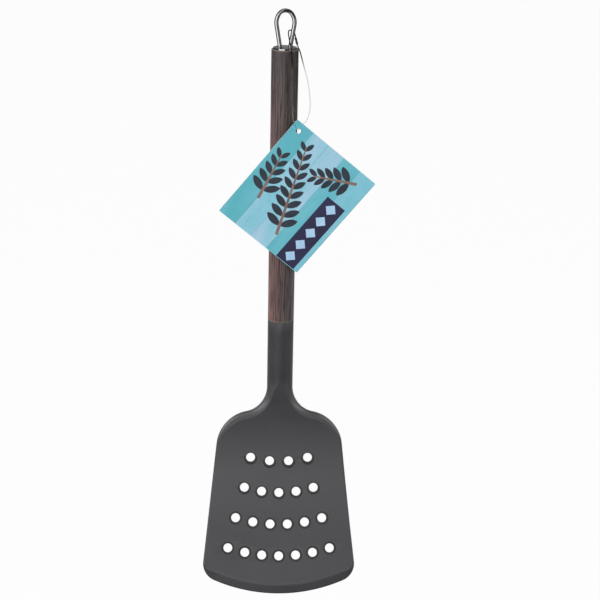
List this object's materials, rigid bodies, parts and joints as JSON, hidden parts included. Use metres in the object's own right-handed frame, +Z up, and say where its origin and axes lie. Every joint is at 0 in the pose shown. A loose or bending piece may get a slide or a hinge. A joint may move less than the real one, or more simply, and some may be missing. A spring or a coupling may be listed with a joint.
{
  "type": "slotted turner",
  "caption": "Pierced nylon turner with a forward-curved blade, a round wood-look handle on a steel core, a wire hanging loop and a card swing tag on a clear string.",
  "frame": {"origin": "the point where a hook bears, inside the top of the wire hanging loop", "axes": "+Z up along the handle as it hangs, -Y the side that the blade curves towards, which holds the food, +X to the right seen from that side"},
  "size_m": [0.0978, 0.0472, 0.3436],
  "materials": {
    "black_nylon": "moulded, fine satin",
    "core_steel": "drawn tube",
    "walnut_look": "dark walnut grain, satin",
    "plug_nylon": "moulded",
    "polished_steel": "polished stainless",
    "clear_nylon": "clear",
    "lock_plastic": "moulded",
    "coated_card": "coated printed card"
  },
  "bodies": {
    "turner": {"turner_head": "black_nylon", "core_tube": "core_steel", "handle_sleeve": "walnut_look", "end_plug": "plug_nylon", "end_cap": "polished_steel", "hanging_loop": "polished_steel"},
    "string": {"tag_string": "clear_nylon", "string_lock": "lock_plastic"},
    "card": {"tag_card": "coated_card"}
  },
  "joints": [
    {"name": "tag_swing", "type": "hinge", "parent": "turner", "child": "string", "pos_m": [0.004, 0, -0.0125], "axis": [0, -1, 0], "range_deg": [0, 30]},
    {"name": "card_turn", "type": "hinge", "parent": "string", "child": "card", "pos_m": [0.0079, -0.0083, -0.064], "axis": [0, -1, 0], "range_deg": [-90, 90]}
  ]
}
